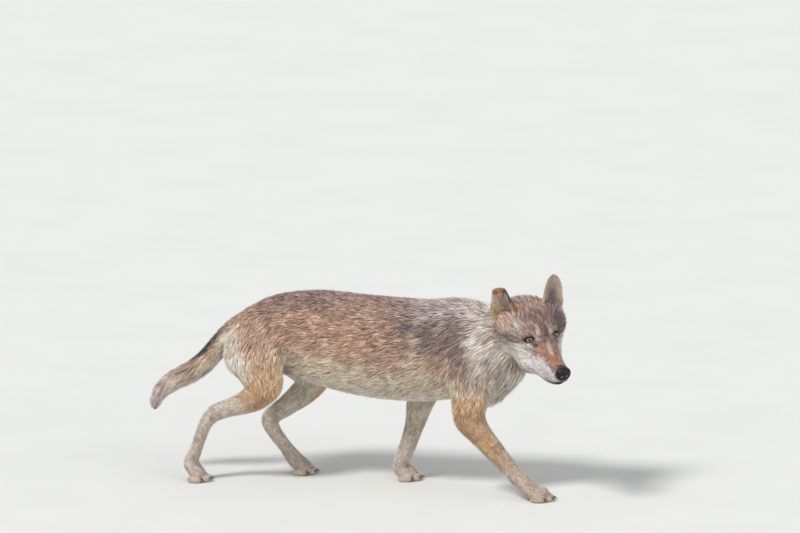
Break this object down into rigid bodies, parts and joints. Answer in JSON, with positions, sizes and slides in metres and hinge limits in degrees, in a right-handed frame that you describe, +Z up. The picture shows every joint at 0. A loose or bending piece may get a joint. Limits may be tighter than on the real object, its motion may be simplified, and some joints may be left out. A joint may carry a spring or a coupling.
{
  "type": "wolf",
  "caption": "Life-size still model of a grey wolf that walks low through grass with its head turned to its right, one ear folded over and its tail trailing.",
  "frame": {"origin": "on the floor, under the middle of the animal's box", "axes": "+X the way the body walks, +Y towards the wolf's left side, +Z up"},
  "size_m": [1.3383, 0.3854, 0.6694],
  "materials": {
    "coat": "dense fur: grey-brown back with dark tips, tan flanks, cream underside and cheeks, rust legs and muzzle",
    "eye": "wet, amber-yellow iris with a black pupil",
    "nose": "bare black pad, moist and finely pebbled",
    "claw": "dark horn"
  },
  "bodies": {
    "root": {"head": "coat", "muzzle": "coat", "ear_left": "coat", "ear_right": "coat", "eye_left": "eye", "eye_right": "eye", "nose": "nose", "neck": "coat", "trunk": "coat", "tail": "coat", "claw_fore_right_1": "claw", "claw_fore_right_2": "claw", "claw_fore_right_3": "claw", "claw_fore_right_4": "claw", "fore_right_upper": "coat", "fore_right_lower": "coat", "fore_right_paw": "coat", "claw_fore_left_1": "claw", "claw_fore_left_2": "claw", "claw_fore_left_3": "claw", "claw_fore_left_4": "claw", "fore_left_upper": "coat", "fore_left_lower": "coat", "fore_left_paw": "coat", "claw_hind_right_1": "claw", "claw_hind_right_2": "claw", "claw_hind_right_3": "claw", "claw_hind_right_4": "claw", "hind_right_upper": "coat", "hind_right_lower": "coat", "hind_right_paw": "coat", "claw_hind_left_1": "claw", "claw_hind_left_2": "claw", "claw_hind_left_3": "claw", "claw_hind_left_4": "claw", "hind_left_upper": "coat", "hind_left_lower": "coat", "hind_left_paw": "coat"}
  },
  "joints": []
}
